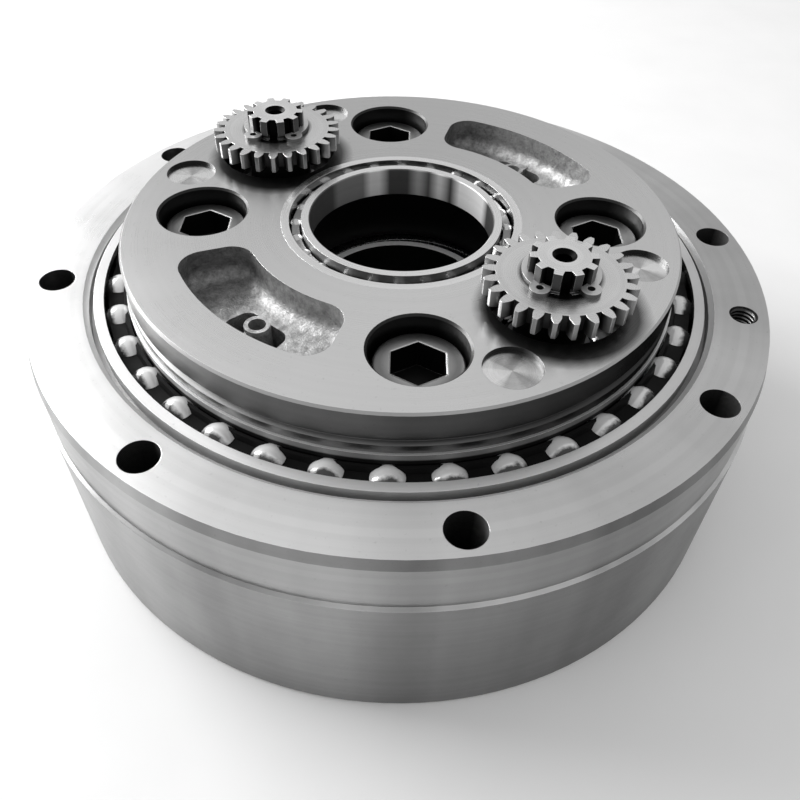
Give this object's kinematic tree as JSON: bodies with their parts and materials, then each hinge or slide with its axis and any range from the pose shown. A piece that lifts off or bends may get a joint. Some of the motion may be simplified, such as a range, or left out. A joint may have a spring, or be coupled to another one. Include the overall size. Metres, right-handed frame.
{
  "type": "cycloidal reducer",
  "caption": "Round case with a bolt flange and a turning carrier plate, driven through lobed discs by crankshafts with spur gears and splined ends.",
  "frame": {"origin": "centre of the case's lower face, at the middle of the bounding box's base", "axes": "+Z along the main axis, from the output flange towards the crank gears; +X to the right in the picture, with the near side at -Y"},
  "size_m": [0.2245, 0.2244, 0.0978],
  "materials": {
    "case_steel": "turned, ground outside",
    "pin_steel": "ground",
    "ring_steel": "ground bearing steel",
    "ball_steel": "polished",
    "cage_black": "moulded, satin",
    "cage_steel": "pressed",
    "seal_rubber": "moulded",
    "spring_steel": "drawn wire",
    "carrier_steel": "turned face, cast pockets",
    "screw_steel": "oiled",
    "plug_steel": "face turned",
    "tube_steel": "drawn tube",
    "crank_steel": "ground",
    "gear_steel": "hobbed, face ground",
    "clip_steel": "phosphated",
    "disc_steel": "ground",
    "cap_steel": "pressed"
  },
  "bodies": {
    "case": {"case": "case_steel", "case_pins": "pin_steel", "upper_outer_ring": "ring_steel", "lower_outer_ring": "ring_steel", "oil_seal": "seal_rubber", "seal_spring": "spring_steel"},
    "carrier": {"carrier_plate": "carrier_steel", "output_flange": "carrier_steel", "carrier_screws": "screw_steel", "blanking_plugs": "plug_steel", "centre_bearing_outer_ring": "ring_steel", "centre_tube": "tube_steel", "upper_inner_ring": "ring_steel", "lower_inner_ring": "ring_steel", "crank_cups_upper": "ring_steel", "crank_cups_lower": "ring_steel", "crank_snap_rings": "clip_steel", "crank_end_caps": "cap_steel"},
    "upper_ball_set": {"upper_balls": "ball_steel", "upper_ball_cage": "cage_black"},
    "lower_ball_set": {"lower_balls": "ball_steel", "lower_ball_cage": "cage_black"},
    "centre_ring": {"centre_bearing_inner_ring": "ring_steel"},
    "centre_ball_set": {"centre_bearing_balls": "ball_steel", "centre_bearing_cage": "cage_steel"},
    "crank_a": {"crankshaft_a": "crank_steel", "crank_gear_a": "gear_steel", "gear_circlip_a": "clip_steel", "crank_cones_a": "ring_steel"},
    "taper_set_a_upper": {"taper_rollers_a_upper": "ball_steel", "taper_cage_a_upper": "cage_steel"},
    "needle_set_a_upper": {"needles_a_upper": "ball_steel", "needle_cage_a_upper": "cage_steel"},
    "taper_set_a_lower": {"taper_rollers_a_lower": "ball_steel", "taper_cage_a_lower": "cage_steel"},
    "needle_set_a_lower": {"needles_a_lower": "ball_steel", "needle_cage_a_lower": "cage_steel"},
    "crank_b": {"crankshaft_b": "crank_steel", "crank_gear_b": "gear_steel", "gear_circlip_b": "clip_steel", "crank_cones_b": "ring_steel"},
    "taper_set_b_upper": {"taper_rollers_b_upper": "ball_steel", "taper_cage_b_upper": "cage_steel"},
    "needle_set_b_upper": {"needles_b_upper": "ball_steel", "needle_cage_b_upper": "cage_steel"},
    "taper_set_b_lower": {"taper_rollers_b_lower": "ball_steel", "taper_cage_b_lower": "cage_steel"},
    "needle_set_b_lower": {"needles_b_lower": "ball_steel", "needle_cage_b_lower": "cage_steel"},
    "disc_upper": {"cycloid_disc_upper": "disc_steel"},
    "disc_lower": {"cycloid_disc_lower": "disc_steel"}
  },
  "joints": [
    {"name": "carrier_turn", "type": "hinge", "parent": "case", "child": "carrier", "pos_m": [0, 0, 0.04], "axis": [0, 0, 1], "continuous": true},
    {"name": "upper_balls_turn", "type": "hinge", "parent": "case", "child": "upper_ball_set", "pos_m": [0, 0, 0.063], "axis": [0, 0, 1], "continuous": true},
    {"name": "lower_balls_turn", "type": "hinge", "parent": "case", "child": "lower_ball_set", "pos_m": [0, 0, 0.014], "axis": [0, 0, 1], "continuous": true},
    {"name": "centre_ring_turn", "type": "hinge", "parent": "carrier", "child": "centre_ring", "pos_m": [0, 0, 0.0795], "axis": [0, 0, 1], "continuous": true},
    {"name": "centre_balls_turn", "type": "hinge", "parent": "carrier", "child": "centre_ball_set", "pos_m": [0, 0, 0.0795], "axis": [0, 0, 1], "continuous": true},
    {"name": "crank_a_turn", "type": "hinge", "parent": "carrier", "child": "crank_a", "pos_m": [0.04144, -0.03811, 0.045], "axis": [0, 0, 1], "continuous": true},
    {"name": "taper_set_a_upper_turn", "type": "hinge", "parent": "crank_a", "child": "taper_set_a_upper", "pos_m": [0.04144, -0.03811, 0.0624], "axis": [0, 0, 1], "continuous": true},
    {"name": "needle_set_a_upper_turn", "type": "hinge", "parent": "crank_a", "child": "needle_set_a_upper", "pos_m": [0.04294, -0.03811, 0.0464], "axis": [0, 0, 1], "continuous": true},
    {"name": "taper_set_a_lower_turn", "type": "hinge", "parent": "crank_a", "child": "taper_set_a_lower", "pos_m": [0.04144, -0.03811, 0.0146], "axis": [0, 0, 1], "continuous": true},
    {"name": "needle_set_a_lower_turn", "type": "hinge", "parent": "crank_a", "child": "needle_set_a_lower", "pos_m": [0.03994, -0.03811, 0.03], "axis": [0, 0, 1], "continuous": true},
    {"name": "crank_b_turn", "type": "hinge", "parent": "carrier", "child": "crank_b", "pos_m": [-0.04144, 0.03811, 0.045], "axis": [0, 0, 1], "continuous": true},
    {"name": "taper_set_b_upper_turn", "type": "hinge", "parent": "crank_b", "child": "taper_set_b_upper", "pos_m": [-0.04144, 0.03811, 0.0624], "axis": [0, 0, 1], "continuous": true},
    {"name": "needle_set_b_upper_turn", "type": "hinge", "parent": "crank_b", "child": "needle_set_b_upper", "pos_m": [-0.03994, 0.03811, 0.0464], "axis": [0, 0, 1], "continuous": true},
    {"name": "taper_set_b_lower_turn", "type": "hinge", "parent": "crank_b", "child": "taper_set_b_lower", "pos_m": [-0.04144, 0.03811, 0.0146], "axis": [0, 0, 1], "continuous": true},
    {"name": "needle_set_b_lower_turn", "type": "hinge", "parent": "crank_b", "child": "needle_set_b_lower", "pos_m": [-0.04294, 0.03811, 0.03], "axis": [0, 0, 1], "continuous": true},
    {"name": "disc_upper_turn", "type": "hinge", "parent": "crank_a", "child": "disc_upper", "pos_m": [0.04294, -0.03811, 0.0464], "axis": [0, 0, 1], "continuous": true},
    {"name": "disc_lower_turn", "type": "hinge", "parent": "crank_a", "child": "disc_lower", "pos_m": [0.03994, -0.03811, 0.03], "axis": [0, 0, 1], "continuous": true}
  ],
  "couplings": [
    {"joint": "upper_balls_turn", "follows": "carrier_turn", "ratio": 0.46911},
    {"joint": "lower_balls_turn", "follows": "carrier_turn", "ratio": 0.46911},
    {"joint": "centre_balls_turn", "follows": "centre_ring_turn", "ratio": 0.46258},
    {"joint": "crank_a_turn", "follows": "carrier_turn", "ratio": -40},
    {"joint": "taper_set_a_upper_turn", "follows": "carrier_turn", "ratio": 22.414},
    {"joint": "needle_set_a_upper_turn", "follows": "carrier_turn", "ratio": 22.527},
    {"joint": "taper_set_a_lower_turn", "follows": "carrier_turn", "ratio": 22.414},
    {"joint": "needle_set_a_lower_turn", "follows": "carrier_turn", "ratio": 22.527},
    {"joint": "crank_b_turn", "follows": "carrier_turn", "ratio": -40},
    {"joint": "taper_set_b_upper_turn", "follows": "carrier_turn", "ratio": 22.414},
    {"joint": "needle_set_b_upper_turn", "follows": "carrier_turn", "ratio": 22.527},
    {"joint": "taper_set_b_lower_turn", "follows": "carrier_turn", "ratio": 22.414},
    {"joint": "needle_set_b_lower_turn", "follows": "carrier_turn", "ratio": 22.527},
    {"joint": "disc_upper_turn", "follows": "carrier_turn", "ratio": 40},
    {"joint": "disc_lower_turn", "follows": "carrier_turn", "ratio": 40}
  ]
}
